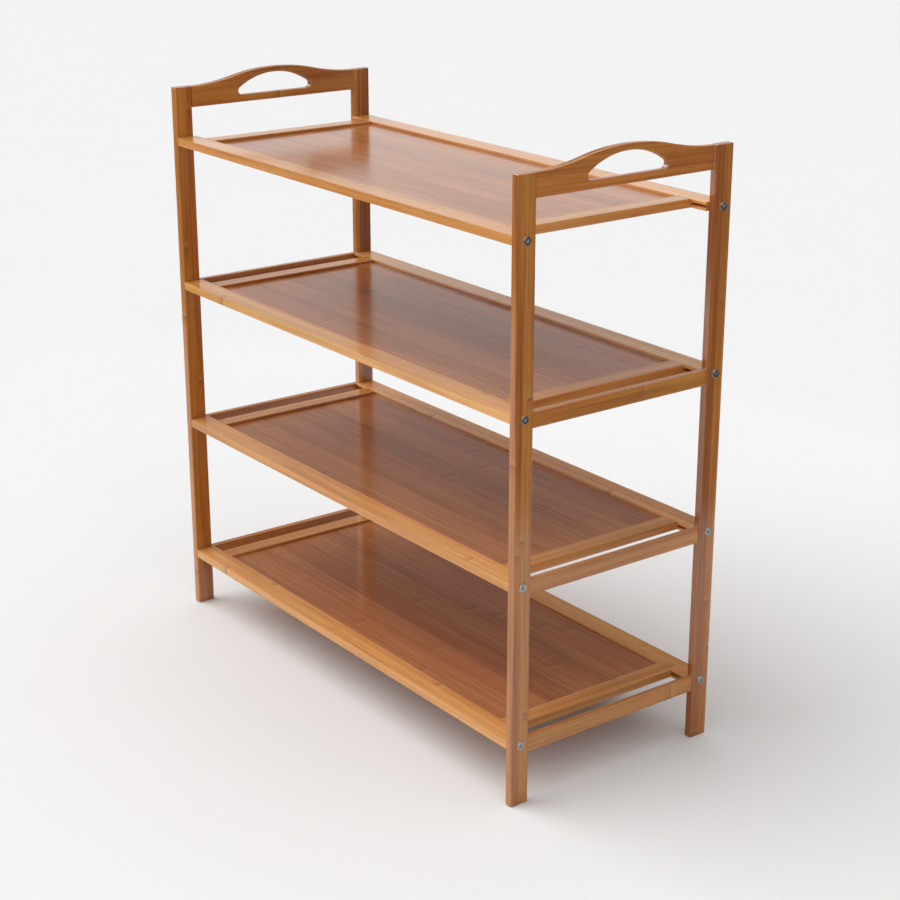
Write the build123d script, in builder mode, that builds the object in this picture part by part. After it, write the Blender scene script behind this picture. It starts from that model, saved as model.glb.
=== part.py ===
"""A four-tier bamboo shoe rack: two end frames with curved handle rails, and four framed shelves bolted between.

X runs along the shelves, Y from front (-) to back (+), Z up. The origin is on the floor under the middle of the
rack. All sizes are in millimetres.
"""

import os

from build123d import *

# ---- Overall ----
rack_length = 700.0  # over the posts' outer faces
rack_depth = 295.0  # over the posts' front and back edges
post_height = 705.0
tier_count = 4
lowest_tier_height = 73.0  # floor to the middle of the lowest shelf's rails
top_tier_drop = 68.0  # posts' tops down to the middle of the top shelf's rails

# ---- Posts ----
post_thickness = 10.0  # along X
post_width = 24.0  # along Y
post_edge_radius = 1.6
post_end_chamfer = 0.8

# ---- Stretchers: all tiers but the top one ----
stretcher_thickness = 8.0
stretcher_height = 18.0
stretcher_drop = 3.5  # middle of the shelf's rails down to the middle of the stretcher
stretcher_edge_radius = 1.2

# ---- Handle rails ----
handle_thickness = 8.5
handle_end_height = 27.0  # where it meets a post
handle_rise = 15.0  # crown above the posts' tops
handle_edge_radius = 1.8
slot_web = 9.5  # wood under the finger slot
slot_length = 128.0  # along the slot's flat floor, before its corners are rounded
slot_height = 25.0
slot_corner_radius = 5.0
slot_edge_radius = 1.8

# ---- Shelf frames ----
rail_thickness = 10.0
long_rail_width = 27.0
long_rail_setback = 1.0  # rails' outer edges inside the posts' edges
long_rail_nose_flat = 1.6  # left between the two roundings of the outer edge
rail_edge_radius = 0.9  # all other long edges
cross_rail_width = 22.0
cross_rail_gap = 23.0  # between a post's inner face and the cross rail

# ---- Panels and the groove they lie in ----
panel_thickness = 3.5
panel_recess = 3.5  # rails' tops down to the panel
groove_depth = 7.0
groove_clearance = 0.2  # above the panel
panel_edge_gap = 1.0  # room for the panel to swell, at the bottom of each groove
tongue_end_gap = 0.5  # between a cross rail's tongue and the bottom of the groove

# ---- Bolts and barrel nuts ----
bolt_diameter = 6.0
bolt_length = 45.0  # under the head
bolt_clearance = 0.2  # on the radius, in the post and the rail
bolt_head_diameter = 9.5
bolt_head_height = 1.6
bolt_head_edge = 0.4
bolt_tip_chamfer = 0.8
socket_width = 4.0  # across the flats
socket_depth = 3.2
bolt_end_room = 2.0  # hole beyond the bolt's tip
nut_diameter = 10.0
nut_setback = 25.0  # rail's end to the nut's middle
nut_skin = 1.0  # wood over the nut, and the nut's depth under the rail's lower face
nut_hole_clearance = 0.1  # on the radius
nut_slot_width = 1.2
nut_slot_depth = 0.6

# ---- Dowels ----
dowel_diameter = 5.0
dowel_in_rail = 12.0  # length held by a stretcher or a handle rail
dowel_end_room = 0.5  # hole beyond the dowel, at each end
dowel_chamfer = 0.6
dowel_bolt_web = 1.3  # wood between a dowel's hole and a bolt's hole
stretcher_dowel_spacing = 10.0
handle_dowel_spacing = 14.0

# ---- Worked out from the sizes above ----
post_x = (rack_length - post_thickness) / 2
post_y = (rack_depth - post_width) / 2
post_gap = rack_depth - 2 * post_width
end_frame_inner_x = rack_length / 2 - post_thickness

top_tier_level = post_height - top_tier_drop
tier_pitch = (top_tier_level - lowest_tier_height) / (tier_count - 1)
tier_levels = [lowest_tier_height + n * tier_pitch for n in range(tier_count)]
stretcher_levels = [tier - stretcher_drop for tier in tier_levels[:-1]]

stretcher_x = end_frame_inner_x + stretcher_thickness / 2
handle_x = end_frame_inner_x + handle_thickness / 2
handle_bottom = post_height - handle_end_height

long_rail_length = 2 * end_frame_inner_x
long_rail_outer_y = rack_depth / 2 - long_rail_setback
long_rail_inner_y = long_rail_outer_y - long_rail_width
long_rail_nose_radius = (rail_thickness - long_rail_nose_flat) / 2
cross_rail_outer_x = end_frame_inner_x - cross_rail_gap
cross_rail_inner_x = cross_rail_outer_x - cross_rail_width

# Heights over the middle of the rails
rail_top = rail_thickness / 2
panel_top = rail_top - panel_recess
groove_floor = panel_top - panel_thickness
groove_height = panel_thickness + groove_clearance
groove_middle = groove_floor + groove_height / 2
tongue_length = groove_depth - tongue_end_gap
panel_in_groove = groove_depth - panel_edge_gap

bolt_hole_radius = bolt_diameter / 2 + bolt_clearance
nut_x = end_frame_inner_x - nut_setback
nut_length = rail_thickness - 2 * nut_skin

handle_end_middle = handle_bottom + handle_end_height / 2
dowel_in_post = post_width / 2 - bolt_hole_radius - dowel_bolt_web - dowel_end_room
dowel_length = dowel_in_post + dowel_in_rail

sides = {"left": -1, "right": 1}
faces = {"front": -1, "back": 1}


def save(part, name):
    """Label a finished piece and write it under that name."""
    part.label = name
    export_step(part, f"parts/{name}.step")


def pair(middle, spacing):
    """Heights of the two dowels in one joint."""
    return [middle - spacing / 2, middle + spacing / 2]


# Heights of the dowels in one post
stretcher_dowel_levels = [z for level in stretcher_levels for z in pair(level, stretcher_dowel_spacing)]
handle_dowel_levels = pair(handle_end_middle, handle_dowel_spacing)


def facing_x(x, y, z, direction):
    """A work plane at a point, looking along +X (1) or -X (-1)."""
    return Plane((x, y, z), x_dir=(0, 1, 0), z_dir=(direction, 0, 0))


def facing_y(x, y, z, direction):
    """A work plane at a point, looking along +Y (1) or -Y (-1)."""
    return Plane((x, y, z), x_dir=(1, 0, 0), z_dir=(0, direction, 0))


# ---- End frames ----
def make_post(side, face):
    """An upright, bored for one bolt at each tier and for the dowels of its stretchers and handle rail."""
    outer_x = side * rack_length / 2
    inner_y = face * post_gap / 2
    bolt_spots = [facing_x(outer_x, face * post_y, z, side) for z in tier_levels]
    dowel_spots = [facing_y(side * stretcher_x, inner_y, z, -face) for z in stretcher_dowel_levels]
    dowel_spots += [facing_y(side * handle_x, inner_y, z, -face) for z in handle_dowel_levels]
    with BuildPart() as post:
        with BuildSketch() as section:
            with Locations((side * post_x, face * post_y)):
                Rectangle(post_thickness, post_width)
            fillet(section.vertices(), post_edge_radius)
        extrude(amount=post_height)
        chamfer(post.faces().filter_by(Axis.Z).edges(), post_end_chamfer)
        with Locations(*bolt_spots):
            Hole(bolt_hole_radius, depth=post_thickness)
        with Locations(*dowel_spots):
            Hole(dowel_diameter / 2, depth=dowel_in_post + dowel_end_room)
    return post.part


def rail_end_spots(x, levels):
    """Work planes for the dowel holes in both ends of a rail between two posts."""
    return [facing_y(x, face * post_gap / 2, z, face) for face in faces.values() for z in levels]


def make_stretcher(side, level):
    """A flat bar between the posts of one end frame, flush with their inner faces."""
    x = side * stretcher_x
    with BuildPart() as bar:
        with BuildSketch(Plane.XZ.offset(-post_gap / 2)) as section:
            with Locations((x, level)):
                Rectangle(stretcher_thickness, stretcher_height)
            fillet(section.vertices(), stretcher_edge_radius)
        extrude(amount=post_gap)
        with Locations(*rail_end_spots(x, pair(level, stretcher_dowel_spacing))):
            Hole(dowel_diameter / 2, depth=dowel_in_rail + dowel_end_room)
    return bar.part


def make_handle_rail(side):
    """A board whose top swells in one smooth wave between the posts, with a D-shaped finger slot."""
    x = side * handle_x
    board_face = Plane.YZ.offset(x - handle_thickness / 2)
    half = post_gap / 2
    slot_floor = handle_bottom + slot_web
    with BuildPart() as board:
        with BuildSketch(board_face):
            with BuildLine():
                corners = [(end * half, handle_bottom) for end in faces.values()]
                Polyline((-half, post_height), *corners, (half, post_height))
                for end in faces.values():
                    turn = (end * half / 2, post_height + handle_rise / 2)
                    TangentArc((0, post_height + handle_rise), turn, tangent=(end, 0))
                    TangentArc((end * half, post_height), turn, tangent=(-end, 0))
            make_face()
        extrude(amount=handle_thickness)
        long_edges = board.edges().filter_by(Axis.X, reverse=True).filter_by(Axis.Z, reverse=True)
        fillet(long_edges, handle_edge_radius)
        with BuildSketch(board_face) as slot:
            with BuildLine():
                floor_ends = [(end * slot_length / 2, slot_floor) for end in faces.values()]
                Line(*floor_ends)
                ThreePointArc(floor_ends[1], (0, slot_floor + slot_height), floor_ends[0])
            make_face()
            fillet(slot.vertices(), slot_corner_radius)
        extrude(amount=handle_thickness, mode=Mode.SUBTRACT)
        fillet(board.edges(Select.LAST).filter_by(Axis.X, reverse=True), slot_edge_radius)
        with Locations(*rail_end_spots(x, handle_dowel_levels)):
            Hole(dowel_diameter / 2, depth=dowel_in_rail + dowel_end_room)
    return board.part


# ---- Shelves ----
def make_long_rail(face, level):
    """A front or back shelf rail, grooved along its inner edge and bored at both ends for a bolt and its nut."""
    middle_y = face * (long_rail_outer_y + long_rail_inner_y) / 2
    groove_y = face * (long_rail_inner_y + groove_depth / 2)
    bolt_depth = bolt_length - post_thickness + bolt_end_room
    with BuildPart() as rail:
        with BuildSketch(Plane.YZ.offset(-long_rail_length / 2)) as section:
            with Locations((middle_y, level)):
                Rectangle(long_rail_width, rail_thickness)
            inner, outer = section.vertices().group_by(Axis.X)[::face]
            fillet(inner, rail_edge_radius)
            fillet(outer, long_rail_nose_radius)
            with Locations((groove_y, level + groove_middle)):
                Rectangle(groove_depth, groove_height, mode=Mode.SUBTRACT)
        extrude(amount=long_rail_length)
        for side in sides.values():
            with Locations(facing_x(side * end_frame_inner_x, face * post_y, level, side)):
                Hole(bolt_hole_radius, depth=bolt_depth)
            with Locations(Plane((side * nut_x, face * post_y, level - rail_top), z_dir=(0, 0, -1))):
                Hole(nut_diameter / 2 + nut_hole_clearance, depth=rail_thickness - nut_skin)
    return rail.part


def make_cross_rail(side, level):
    """A short shelf rail, grooved for the panel, with a tongue at each end for the long rails' grooves."""
    middle_x = side * (cross_rail_outer_x + cross_rail_inner_x) / 2
    groove_x = side * (cross_rail_inner_x + groove_depth / 2)
    with BuildPart() as rail:
        with BuildSketch(Plane.XZ.offset(-long_rail_inner_y)) as section:
            with Locations((middle_x, level)):
                Rectangle(cross_rail_width, rail_thickness)
            fillet(section.vertices(), rail_edge_radius)
        extrude(amount=2 * long_rail_inner_y)
        with Locations((middle_x, 0, level + groove_middle)):
            Box(cross_rail_width, 2 * (long_rail_inner_y + tongue_length), groove_height)
        with Locations((groove_x, 0, level + groove_middle)):
            Box(groove_depth, 2 * (long_rail_inner_y + tongue_length), groove_height, mode=Mode.SUBTRACT)
    return rail.part


def make_panel(level):
    """A thin shelf panel, held in the grooves on all four sides."""
    with BuildPart() as panel:
        with BuildSketch(Plane.XY.offset(level + groove_floor)):
            Rectangle(2 * (cross_rail_inner_x + panel_in_groove), 2 * (long_rail_inner_y + panel_in_groove))
        extrude(amount=panel_thickness)
    return panel.part


# ---- Fastenings ----
def bolt_spots(side):
    """Where the bolts of one end frame meet its outer face, looking outwards."""
    outer_x = side * rack_length / 2
    return [facing_x(outer_x, face * post_y, z, side) for face in faces.values() for z in tier_levels]


def make_bolts(side):
    """The bolts of one end frame: a low round head with a hexagon socket, and a plain shank for the thread."""
    with BuildPart() as bolt:
        Cylinder(bolt_head_diameter / 2, bolt_head_height, align=(Align.CENTER, Align.CENTER, Align.MIN))
        fillet(bolt.edges().sort_by(Axis.Z)[-1], bolt_head_edge)
        Cylinder(bolt_diameter / 2, bolt_length, align=(Align.CENTER, Align.CENTER, Align.MAX))
        chamfer(bolt.edges().sort_by(Axis.Z)[0], bolt_tip_chamfer)
        with BuildSketch(Plane.XY.offset(bolt_head_height)):
            RegularPolygon(socket_width / 2, 6, major_radius=False)
        extrude(amount=-socket_depth, mode=Mode.SUBTRACT)
    with BuildPart() as bolts:
        with Locations(*bolt_spots(side)):
            add(bolt.part)
    return bolts.part


def make_barrel_nuts(side):
    """The nuts of one end: short upright rods with a cross hole for the bolt and a screwdriver slot below."""
    with BuildPart() as nut:
        Cylinder(nut_diameter / 2, nut_length)
        with Locations(facing_x(nut_diameter / 2, 0, 0, 1)):
            Hole(bolt_diameter / 2, depth=nut_diameter)
        with Locations((0, 0, -nut_length / 2)):
            slot_align = (Align.CENTER, Align.CENTER, Align.MIN)
            Box(nut_diameter, nut_slot_width, nut_slot_depth, align=slot_align, mode=Mode.SUBTRACT)
    with BuildPart() as nuts:
        with Locations(*[(side * nut_x, face * post_y, z) for face in faces.values() for z in tier_levels]):
            add(nut.part)
    return nuts.part


def make_dowels(x, levels):
    """The dowels of one end frame's joints at the given heights, half in the post and half in the rail."""
    middle_y = post_gap / 2 + (dowel_in_post - dowel_in_rail) / 2
    with BuildPart() as dowel:
        Cylinder(dowel_diameter / 2, dowel_length)
        chamfer(dowel.edges().filter_by(GeomType.CIRCLE), dowel_chamfer)
    with BuildPart() as dowels:
        with Locations(*[facing_y(x, face * middle_y, z, face) for face in faces.values() for z in levels]):
            add(dowel.part)
    return dowels.part


os.makedirs("parts", exist_ok=True)

for side_name, side in sides.items():
    for face_name, face in faces.items():
        save(make_post(side, face), f"{face_name}_{side_name}_post")
    save(make_handle_rail(side), f"{side_name}_handle_rail")
    save(make_bolts(side), f"{side_name}_bolts")
    save(make_barrel_nuts(side), f"{side_name}_barrel_nuts")
    save(make_dowels(side * stretcher_x, stretcher_dowel_levels), f"{side_name}_stretcher_dowels")
    save(make_dowels(side * handle_x, handle_dowel_levels), f"{side_name}_handle_dowels")

for number, level in enumerate(tier_levels, start=1):
    for face_name, face in faces.items():
        save(make_long_rail(face, level), f"tier_{number}_{face_name}_rail")
    for side_name, side in sides.items():
        save(make_cross_rail(side, level), f"tier_{number}_{side_name}_cross_rail")
    save(make_panel(level), f"tier_{number}_panel")

for number, level in enumerate(stretcher_levels, start=1):
    for side_name, side in sides.items():
        save(make_stretcher(side, level), f"tier_{number}_{side_name}_stretcher")
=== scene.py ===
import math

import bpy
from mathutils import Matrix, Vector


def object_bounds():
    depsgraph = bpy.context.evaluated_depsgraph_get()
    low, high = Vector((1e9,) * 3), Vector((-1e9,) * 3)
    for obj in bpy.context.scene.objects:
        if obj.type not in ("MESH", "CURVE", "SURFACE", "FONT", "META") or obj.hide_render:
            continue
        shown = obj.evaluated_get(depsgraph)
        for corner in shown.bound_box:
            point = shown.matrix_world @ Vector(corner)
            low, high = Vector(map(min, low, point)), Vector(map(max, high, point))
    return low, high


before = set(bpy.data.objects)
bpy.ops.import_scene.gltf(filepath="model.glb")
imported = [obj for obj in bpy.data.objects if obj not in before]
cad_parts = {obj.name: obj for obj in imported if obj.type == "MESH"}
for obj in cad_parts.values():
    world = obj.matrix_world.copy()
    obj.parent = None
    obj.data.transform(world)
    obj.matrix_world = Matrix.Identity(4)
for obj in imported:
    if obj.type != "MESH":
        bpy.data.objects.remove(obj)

# A four-tier bamboo shoe rack in a plain pale studio. The CAD model gives every shape. This script gives
# each piece its material, and adds the floor, the light and the camera. All sizes are in metres.

cad_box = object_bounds()
MM = 0.001

# ---- Camera: the rack seen from its front right, a little from above ----
VIEW_AZIMUTH = 53.3  # degrees from straight in front, towards the right
VIEW_ELEVATION = 19.5  # degrees above level
VIEW_DISTANCE = 2.324
VIEW_LENS = 76.0  # millimetres
AIM_FROM_CENTRE = Vector((32.5, 5.8, -63.6)) * MM

# ---- Grain along each axis: the turn that brings it onto the pattern's own X, and its direction ----
GRAIN_ALONG = {
    "x": (0.0, 0.0, 0.0),
    "y": (0.0, 0.0, -math.pi / 2),
    "z": (0.0, math.pi / 2, 0.0),
}
GRAIN_VECTOR = {"x": (1.0, 0.0, 0.0), "y": (0.0, 1.0, 0.0), "z": (0.0, 0.0, 1.0)}


class Graph:
    """Short calls for adding nodes to one node tree."""

    def __init__(self, tree):
        self.tree = tree

    def node(self, kind, inputs=(), **settings):
        """Add a node; inputs are (socket, value or output) pairs."""
        made = self.tree.nodes.new(kind)
        for name, value in settings.items():
            setattr(made, name, value)
        for socket, value in inputs:
            self.feed(made.inputs[socket], value)
        return made

    def feed(self, socket, value):
        if isinstance(value, bpy.types.NodeSocket):
            self.tree.links.new(value, socket)
        else:
            socket.default_value = value

    def math(self, operation, *values, clamp=False):
        made = self.node("ShaderNodeMath", enumerate(values), operation=operation, use_clamp=clamp)
        return made.outputs[0]

    def vector(self, operation, *values):
        made = self.node("ShaderNodeVectorMath", enumerate(values), operation=operation)
        return made.outputs["Value" if operation == "DOT_PRODUCT" else "Vector"]

    def split(self, vector):
        return self.node("ShaderNodeSeparateXYZ", [(0, vector)]).outputs

    def join(self, x, y, z):
        return self.node("ShaderNodeCombineXYZ", [(0, x), (1, y), (2, z)]).outputs[0]

    def noise(self, vector, scale=1.0, detail=2.0, roughness=0.5):
        inputs = [("Vector", vector), ("Scale", scale), ("Detail", detail), ("Roughness", roughness)]
        return self.node("ShaderNodeTexNoise", inputs).outputs["Fac"]

    def random(self, vector):
        """A fixed random value and colour for each whole-number point."""
        made = self.node("ShaderNodeTexWhiteNoise", [("Vector", vector)], noise_dimensions="3D")
        return made.outputs["Value"], made.outputs["Color"]

    def remap(self, value, low, high, to_low=0.0, to_high=1.0):
        """A smooth step between two values."""
        inputs = [(0, value), (1, low), (2, high), (3, to_low), (4, to_high)]
        return self.node("ShaderNodeMapRange", inputs, interpolation_type="SMOOTHSTEP").outputs[0]

    def mix(self, share, first, second, blend="MIX"):
        """Blend two colours; 6, 7 and 2 are the Mix node's sockets for colours."""
        made = self.node("ShaderNodeMix", data_type="RGBA", blend_type=blend, clamp_factor=True)
        for socket, value in ((0, share), (6, first), (7, second)):
            self.feed(made.inputs[socket], value)
        return made.outputs[2]


def rgb(red, green, blue):
    return (red, green, blue, 1.0)


def towards(azimuth, elevation):
    """The direction in which something stands, in degrees as VIEW_AZIMUTH and VIEW_ELEVATION are."""
    a, e = math.radians(azimuth), math.radians(elevation)
    return Vector((math.sin(a) * math.cos(e), -math.cos(a) * math.cos(e), math.sin(e)))


def new_material(name):
    """An empty node material, and the graph that fills it."""
    material = bpy.data.materials.new(name)
    material.use_nodes = True
    material.node_tree.nodes.clear()
    return material, Graph(material.node_tree)


def add_shader(g, surface):
    """Give a material its shader, from (socket, value or output) pairs."""
    shader = g.node("ShaderNodeBsdfPrincipled", surface)
    g.node("ShaderNodeOutputMaterial", [("Surface", shader.outputs[0])])


# ---- Bamboo ----
def make_bamboo_pattern():
    """The shared pattern of laminated bamboo, with its grain along the X of the vector it is given."""
    tree = bpy.data.node_groups.new("bamboo_pattern", "ShaderNodeTree")
    sockets = [("Point", "Vector"), ("End grain", "Float"), ("Strip width", "Float")]
    sockets += [("Light tone", "Color"), ("Dark tone", "Color")]
    sockets += [("Strip contrast", "Float"), ("Node marks", "Float")]
    for name, kind in sockets:
        tree.interface.new_socket(name, in_out="INPUT", socket_type="NodeSocket" + kind)
    for name, kind in (("Color", "Color"), ("Roughness", "Float"), ("Height", "Float")):
        tree.interface.new_socket(name, in_out="OUTPUT", socket_type="NodeSocket" + kind)
    g = Graph(tree)
    given = g.node("NodeGroupInput").outputs
    along, across, through = g.split(given["Point"])

    # Fibres wander a little from side to side
    wander_reach = 2.4 * MM
    slow = g.join(g.math("MULTIPLY", along, 5.0), g.math("MULTIPLY", across, 20.0), through)
    drift = g.noise(slow, 1.0, 1.0)
    wander = g.math("MULTIPLY", g.math("SUBTRACT", drift, 0.5), wander_reach)
    across = g.math("ADD", across, wander)

    # Strips glued side by side, each from its own culm
    joint_width = 0.45 * MM
    place = g.math("DIVIDE", g.math("SUBTRACT", across, wander), given["Strip width"])
    strip = g.math("FLOOR", place)
    in_strip = g.math("FRACT", place)
    strip_value, strip_colour = g.random(g.join(strip, 3.0, 7.0))
    strip_hue, strip_shift, _ = g.split(strip_colour)
    joint = g.math("MINIMUM", in_strip, g.math("SUBTRACT", 1.0, in_strip))
    joint_line = g.remap(g.math("MULTIPLY", joint, given["Strip width"]), 0.0, joint_width, 1.0, 0.0)

    # Fibres: broad and narrow streaks, short dark bundles, soft clouds and streaks of another hue
    def streaks(length_scale, width_scale, detail):
        stretched = g.join(
            g.math("MULTIPLY", g.math("ADD", along, g.math("MULTIPLY", strip_shift, 3.0)), length_scale),
            g.math("MULTIPLY", across, width_scale),
            g.math("MULTIPLY", through, width_scale),
        )
        return g.noise(stretched, 1.0, detail, 0.6)

    broad = g.remap(streaks(4.0, 170.0, 2.0), 0.32, 0.68)
    narrow = g.remap(streaks(9.0, 620.0, 3.0), 0.32, 0.68)
    bundles = g.remap(streaks(70.0, 2100.0, 1.0), 0.60, 0.72)
    clouds = g.remap(streaks(6.0, 28.0, 1.0), 0.30, 0.70)
    hue_streaks = g.remap(streaks(2.5, 260.0, 1.0), 0.35, 0.65)

    # Nodes of the culm: a dark line across the strip, with a pale swelling beside it and a smudge behind
    node_spacing = 0.36
    bow_reach = 7.0 * MM
    ragged_reach = 5.0 * MM
    bow = g.math("MULTIPLY", g.math("POWER", g.math("SUBTRACT", in_strip, 0.5), 2.0), bow_reach)
    ragged = g.math("MULTIPLY", g.math("SUBTRACT", streaks(30.0, 260.0, 2.0), 0.5), ragged_reach)
    shifted = g.math("ADD", g.math("DIVIDE", along, node_spacing), g.math("MULTIPLY", strip_value, 9.0))
    from_node = g.math("MULTIPLY", g.math("SUBTRACT", g.math("FRACT", shifted), 0.5), node_spacing)
    node_value, _ = g.random(g.join(strip, g.math("FLOOR", shifted), 11.0))
    strength = g.math("MULTIPLY", g.remap(node_value, 0.15, 0.95), given["Node marks"])
    from_node = g.math("ADD", g.math("ADD", from_node, bow), ragged)

    def band(middle, flat, reach):
        """A cross band beside each node: full over its flat, gone at its reach. In millimetres."""
        away = g.math("ABSOLUTE", g.math("SUBTRACT", from_node, middle * MM))
        return g.math("MULTIPLY", g.remap(away, flat * MM, reach * MM, 1.0, 0.0), strength)

    node_line = band(0.0, 0.3, 1.6)
    node_halo = band(5.0, 1.0, 7.0)
    node_smudge = band(-4.0, 1.0, 8.0)

    # Colour
    share = g.math("ADD", g.math("MULTIPLY", broad, 0.55), g.math("MULTIPLY", narrow, 0.30))
    strip_share = g.math("MULTIPLY", g.math("SUBTRACT", strip_hue, 0.45), given["Strip contrast"])
    share = g.math("ADD", share, strip_share)
    share = g.math("ADD", share, g.math("MULTIPLY", g.math("SUBTRACT", clouds, 0.5), 0.28), clamp=True)
    colour = g.mix(share, given["Light tone"], given["Dark tone"])
    warmth = g.math("ADD", g.math("MULTIPLY", strip_shift, 0.5), g.math("MULTIPLY", hue_streaks, 0.5))
    colour = g.mix(1.0, colour, g.mix(warmth, rgb(0.97, 1.09, 1.12), rgb(1.04, 0.91, 0.86)), "MULTIPLY")
    colour = g.mix(g.math("MULTIPLY", bundles, 0.30), colour, rgb(0.30, 0.14, 0.05), "MULTIPLY")
    colour = g.mix(g.math("MULTIPLY", node_halo, 0.07), colour, rgb(1.0, 0.72, 0.40), "SCREEN")
    colour = g.mix(g.math("MULTIPLY", node_smudge, 0.35), colour, rgb(0.62, 0.42, 0.26), "MULTIPLY")
    colour = g.mix(g.math("MULTIPLY", node_line, 0.75), colour, rgb(0.42, 0.22, 0.10), "MULTIPLY")
    colour = g.mix(g.math("MULTIPLY", joint_line, 0.22), colour, rgb(0.45, 0.28, 0.16), "MULTIPLY")

    # Sawn ends: the fibre bundles show as dark dots, and the wood drinks more lacquer
    dots = g.node("ShaderNodeTexVoronoi", [("Vector", g.join(0.0, across, through)), ("Scale", 1100.0)])
    dot = g.remap(dots.outputs["Distance"], 0.12, 0.42, 1.0, 0.0)
    end_colour = g.mix(0.55, colour, rgb(0.55, 0.40, 0.28), "MULTIPLY")
    end_colour = g.mix(g.math("MULTIPLY", dot, 0.6), end_colour, rgb(0.30, 0.18, 0.10), "MULTIPLY")
    colour = g.mix(given["End grain"], colour, end_colour)

    # Gloss and relief
    rough = g.math("ADD", 0.33, g.math("MULTIPLY", narrow, 0.10))
    rough = g.math("ADD", rough, g.math("MULTIPLY", bundles, 0.12))
    rough = g.math("ADD", rough, g.math("MULTIPLY", given["End grain"], 0.22))
    height = g.math("ADD", g.math("MULTIPLY", narrow, 0.35), g.math("MULTIPLY", broad, 0.30))
    height = g.math("SUBTRACT", height, g.math("MULTIPLY", bundles, 0.45))
    height = g.math("SUBTRACT", height, g.math("MULTIPLY", joint_line, 0.9))
    height = g.math("ADD", height, g.math("MULTIPLY", node_halo, 0.8))
    height = g.math("SUBTRACT", height, g.math("MULTIPLY", node_line, 0.9))
    results = [("Color", colour), ("Roughness", rough), ("Height", height)]
    g.node("NodeGroupOutput", results)
    return tree


BAMBOO_PATTERN = make_bamboo_pattern()
SEED_STEP = (0.377, 0.0137, 0.051)
RELIEF_DEPTH = 0.06 * MM


def bamboo(name, grain, seed, light_tone, dark_tone, strip_width,
           strip_contrast, node_marks, coat_ior, relief):
    """One board's lacquered bamboo. The seed moves the pattern, so that no two boards are alike."""
    material, g = new_material(name)
    place = g.node("ShaderNodeTexCoord")
    turn = [("Vector", place.outputs["Object"]), ("Rotation", GRAIN_ALONG[grain])]
    turned = g.node("ShaderNodeMapping", turn)
    moved = g.vector("ADD", turned.outputs[0], tuple(step * seed for step in SEED_STEP))
    facing = g.math("ABSOLUTE", g.vector("DOT_PRODUCT", place.outputs["Normal"], GRAIN_VECTOR[grain]))
    end_grain = g.remap(facing, 0.60, 0.85)
    pattern = g.node("ShaderNodeGroup", node_tree=BAMBOO_PATTERN)
    given = [("Point", moved), ("End grain", end_grain), ("Strip width", strip_width)]
    given += [("Light tone", light_tone), ("Dark tone", dark_tone)]
    given += [("Strip contrast", strip_contrast), ("Node marks", node_marks)]
    for socket, value in given:
        g.feed(pattern.inputs[socket], value)
    bumps = [("Height", pattern.outputs["Height"]), ("Strength", relief), ("Distance", RELIEF_DEPTH)]
    bump = g.node("ShaderNodeBump", bumps)
    surface = [("Base Color", pattern.outputs["Color"]), ("Roughness", pattern.outputs["Roughness"])]
    surface += [("Normal", bump.outputs[0]), ("IOR", 1.50), ("Specular IOR Level", 0.08)]
    surface += [("Coat Weight", 1.0), ("Coat Roughness", 0.17), ("Coat IOR", coat_ior)]
    add_shader(g, surface)
    return material


# ---- Beech dowels ----
def beech():
    """Pale close-grained wood with short brown flecks."""
    material, g = new_material("beech")
    point = g.node("ShaderNodeTexCoord").outputs["Object"]
    grain = g.noise(g.vector("MULTIPLY", point, (900.0, 40.0, 900.0)), 1.0, 3.0)
    fleck = g.remap(g.noise(g.vector("MULTIPLY", point, (1500.0, 160.0, 1500.0)), 1.0, 1.0), 0.60, 0.72)
    colour = g.mix(grain, rgb(0.60, 0.42, 0.24), rgb(0.47, 0.30, 0.15))
    colour = g.mix(g.math("MULTIPLY", fleck, 0.5), colour, rgb(0.40, 0.24, 0.13), "MULTIPLY")
    bump = g.node("ShaderNodeBump", [("Height", grain), ("Strength", 0.4), ("Distance", 0.08 * MM)])
    rough = g.math("ADD", 0.58, g.math("MULTIPLY", grain, 0.15))
    surface = [("Base Color", colour), ("Roughness", rough), ("Normal", bump.outputs[0])]
    add_shader(g, surface)
    return material


# ---- Zinc-plated steel ----
def zinc_steel():
    """Bright plated steel with fine tumbling marks and slightly duller patches."""
    material, g = new_material("zinc_steel")
    point = g.node("ShaderNodeTexCoord").outputs["Object"]
    patches = g.remap(g.noise(point, 420.0, 2.0), 0.35, 0.65)
    marks = g.noise(point, 3800.0, 2.0)
    colour = g.mix(patches, rgb(0.90, 0.91, 0.93), rgb(0.74, 0.75, 0.78))
    rough = g.math("ADD", 0.16, g.math("MULTIPLY", patches, 0.12))
    bump = g.node("ShaderNodeBump", [("Height", marks), ("Strength", 0.25), ("Distance", 0.04 * MM)])
    surface = [("Base Color", colour), ("Roughness", rough), ("Metallic", 1.0), ("Normal", bump.outputs[0])]
    add_shader(g, surface)
    return material


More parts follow.
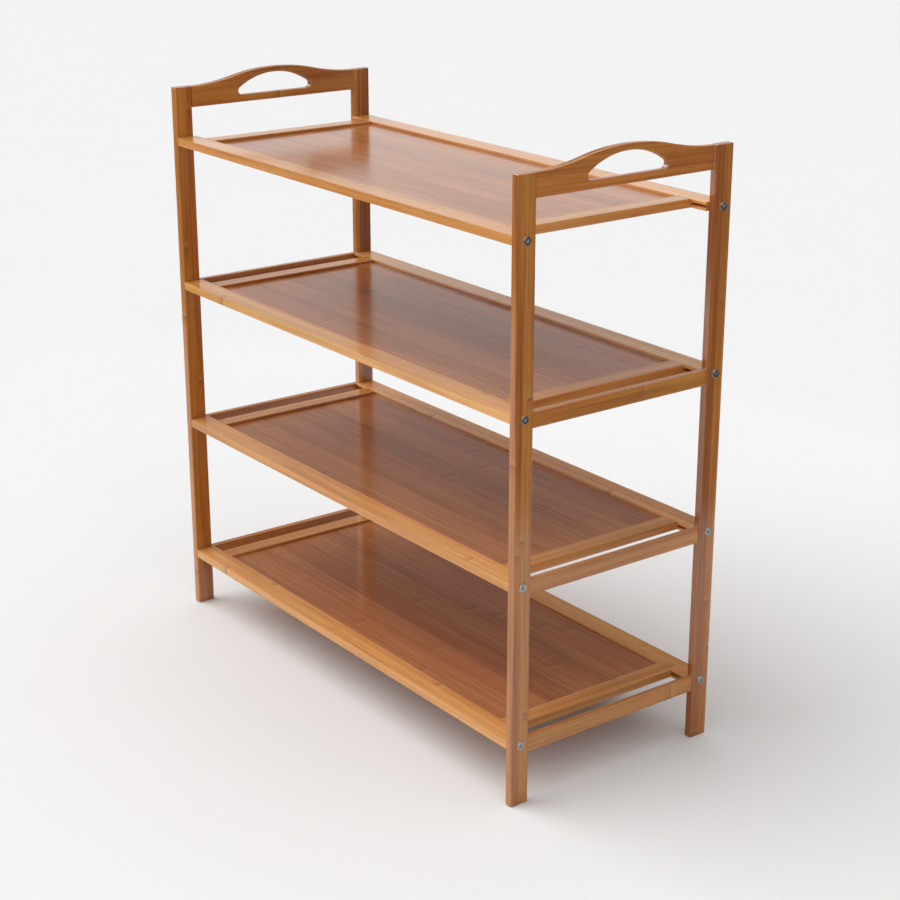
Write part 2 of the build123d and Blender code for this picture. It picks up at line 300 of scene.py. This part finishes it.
# ---- Which piece is made of what ----
UPRIGHT = dict(light_tone=rgb(0.62, 0.232, 0.030), dark_tone=rgb(0.34, 0.090, 0.006), strip_width=6.5 * MM)
RAIL = dict(light_tone=rgb(0.83, 0.400, 0.118), dark_tone=rgb(0.58, 0.235, 0.050), strip_width=13.0 * MM)
# The cross rails are the rails' bamboo with darker tones: painted shade, which darkens their outer faces as
# the shade at the shelf ends would.
SHADED_CROSS_RAIL = dict(RAIL, light_tone=rgb(0.72, 0.325, 0.090), dark_tone=rgb(0.48, 0.180, 0.036))
PANEL = dict(light_tone=rgb(0.52, 0.200, 0.068), dark_tone=rgb(0.35, 0.118, 0.038), strip_width=19.5 * MM)
KINDS = [
    ("_post", "z", dict(UPRIGHT, strip_contrast=1.10, node_marks=0.9, coat_ior=2.40, relief=0.5)),
    ("_handle_rail", "y", dict(UPRIGHT, strip_contrast=0.60, node_marks=0.8, coat_ior=2.40, relief=0.5)),
    ("_stretcher", "y", dict(UPRIGHT, strip_contrast=0.60, node_marks=0.7, coat_ior=2.40, relief=0.5)),
    ("_cross_rail", "y", dict(SHADED_CROSS_RAIL, strip_contrast=0.45, node_marks=0.9, coat_ior=1.75, relief=0.5)),
    ("_rail", "x", dict(RAIL, strip_contrast=0.45, node_marks=1.0, coat_ior=1.80, relief=0.5)),
    ("_panel", "x", dict(PANEL, strip_contrast=0.65, node_marks=0.6, coat_ior=1.60, relief=0.35)),
]


def finish_for(node, seed):
    """The material of one CAD node, from its name."""
    if node.endswith("dowels"):
        return BEECH
    if node.endswith(("bolts", "nuts")):
        return STEEL
    for ending, grain, look in KINDS:
        if node.endswith(ending):
            return bamboo("bamboo_" + node, grain, seed, **look)
    raise ValueError("no material for " + node)


BEECH = beech()
STEEL = zinc_steel()
for seed, (node, piece) in enumerate(sorted(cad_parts.items()), start=1):
    finish = finish_for(node, seed)
    for slot in piece.material_slots:
        slot.material = finish


# ---- Studio ----
FLOOR_SIDES = 96
FLOOR_RADIUS = 40.0
SHEET_RADIUS = 1.45
SHEET_MIDDLE = (-0.25, -0.30)


def plain_material(name, colour, roughness):
    """A matt surface with a trace of unevenness, for the floor."""
    material = bpy.data.materials.new(name)
    material.use_nodes = True
    g = Graph(material.node_tree)
    shader = material.node_tree.nodes["Principled BSDF"]
    mottle = g.noise(g.node("ShaderNodeTexCoord").outputs["Object"], 3.0, 2.0)
    g.feed(shader.inputs["Base Color"], g.mix(mottle, colour, rgb(*(0.98 * c for c in colour[:3]))))
    g.feed(shader.inputs["Roughness"], roughness)
    return material


def flat_disc(name, radius, material, middle=(0.0, 0.0)):
    """A round sheet at floor level."""
    mesh = bpy.data.meshes.new(name)
    turns = [2 * math.pi * n / FLOOR_SIDES for n in range(FLOOR_SIDES)]
    rim = [(radius * math.cos(t), radius * math.sin(t), 0) for t in turns]
    mesh.from_pydata(rim, [], [range(FLOOR_SIDES)])
    mesh.materials.append(material)
    disc = bpy.data.objects.new(name, mesh)
    disc.location = (*middle, cad_box[0].z)
    bpy.context.scene.collection.objects.link(disc)
    return disc


# The camera and the light meet a wide pale floor. Lacquer and steel mirror a smaller white sheet instead,
# as in a studio whose far floor is dark. Both lie at one height, so the floor keeps no light off the sheet.
floor = flat_disc("floor", FLOOR_RADIUS, plain_material("pale_floor", rgb(0.83, 0.83, 0.83), 0.7))
floor.visible_glossy = False
floor.visible_shadow = False
white = plain_material("white_sheet", rgb(0.95, 0.95, 0.95), 0.7)
mirrored_floor = flat_disc("mirrored_floor", SHEET_RADIUS, white, middle=SHEET_MIDDLE)
for seen_by in ("camera", "diffuse", "transmission", "volume_scatter", "shadow"):
    setattr(mirrored_floor, "visible_" + seen_by, False)

# The studio around it, as light and reflections find it: bright overhead, dim further down, and bright
# again low behind the rack, where its upper shelves mirror it. The camera sees an even pale backdrop.
# Heights are the upward part of a direction: 0 at the horizon and 1 straight up.
OVERHEAD_STARTS, OVERHEAD_FULL = 0.45, 0.80
OVERHEAD_GLOW, DIM_GLOW = 0.72, 0.05
REAR_FADES, REAR_ENDS = 0.10, 0.43
REAR_GLOW = 0.95
REAR_WIDEST, REAR_FULL = 0.35, 0.75  # cosines of the angle from straight behind
HORIZON_SOFTNESS = 0.06
BACKDROP_STRENGTH = 0.88
WHITE = rgb(1.0, 1.0, 1.0)
rear = towards(VIEW_AZIMUTH + 180.0, 0.0)
world = bpy.data.worlds.new("studio")
bpy.context.scene.world = world
world.use_nodes = True
world.node_tree.nodes.clear()
sky = Graph(world.node_tree)
place_in_sky = sky.node("ShaderNodeTexCoord").outputs["Generated"]
height = sky.split(place_in_sky)[2]
overhead = sky.remap(height, OVERHEAD_STARTS, OVERHEAD_FULL, DIM_GLOW, OVERHEAD_GLOW)
fading_up = sky.remap(height, REAR_FADES, REAR_ENDS, REAR_GLOW, 0.0)
above_floor = sky.remap(height, -HORIZON_SOFTNESS, 0.0)
behind = sky.remap(sky.vector("DOT_PRODUCT", place_in_sky, rear), REAR_WIDEST, REAR_FULL)
low = sky.math("MULTIPLY", fading_up, above_floor)
glow = sky.math("ADD", overhead, sky.math("MULTIPLY", low, behind))
room = sky.node("ShaderNodeBackground", [("Color", WHITE), ("Strength", glow)])
backdrop = sky.node("ShaderNodeBackground", [("Color", WHITE), ("Strength", BACKDROP_STRENGTH)])
seen = sky.node("ShaderNodeLightPath").outputs["Is Camera Ray"]
either = sky.node("ShaderNodeMixShader", [(0, seen), (1, room.outputs[0]), (2, backdrop.outputs[0])])
sky.node("ShaderNodeOutputWorld", [("Surface", either.outputs[0])])


def place_facing(thing, place, away):
    """Put a light or a camera into the scene, with its back to the direction away."""
    thing.location = place
    thing.rotation_mode = "QUATERNION"
    thing.rotation_quaternion = away.to_track_quat("Z", "Y")
    bpy.context.scene.collection.objects.link(thing)


def soft_sun(name, azimuth, elevation, strength, spread):
    """A broad soft light that falls evenly on the whole floor, from wherever it is placed."""
    data = bpy.data.lights.new(name, "SUN")
    data.energy = strength
    data.angle = math.radians(spread)
    place_facing(bpy.data.objects.new(name, data), (0.0, 0.0, SUN_HEIGHT), towards(azimuth, elevation))


SUN_HEIGHT = 3.0
soft_sun("overhead_light", azimuth=0.0, elevation=82.0, strength=0.75, spread=90.0)
soft_sun("front_light", azimuth=-44.0, elevation=42.0, strength=1.80, spread=64.0)
soft_sun("side_light", azimuth=78.0, elevation=9.0, strength=0.46, spread=40.0)

camera_data = bpy.data.cameras.new("camera")
camera_data.lens = VIEW_LENS
camera = bpy.data.objects.new("camera", camera_data)
back = towards(VIEW_AZIMUTH, VIEW_ELEVATION)
aim = (cad_box[0] + cad_box[1]) / 2 + AIM_FROM_CENTRE
place_facing(camera, aim + back * VIEW_DISTANCE, back)
bpy.context.scene.camera = camera
bpy.context.scene.view_settings.view_transform = "Standard"
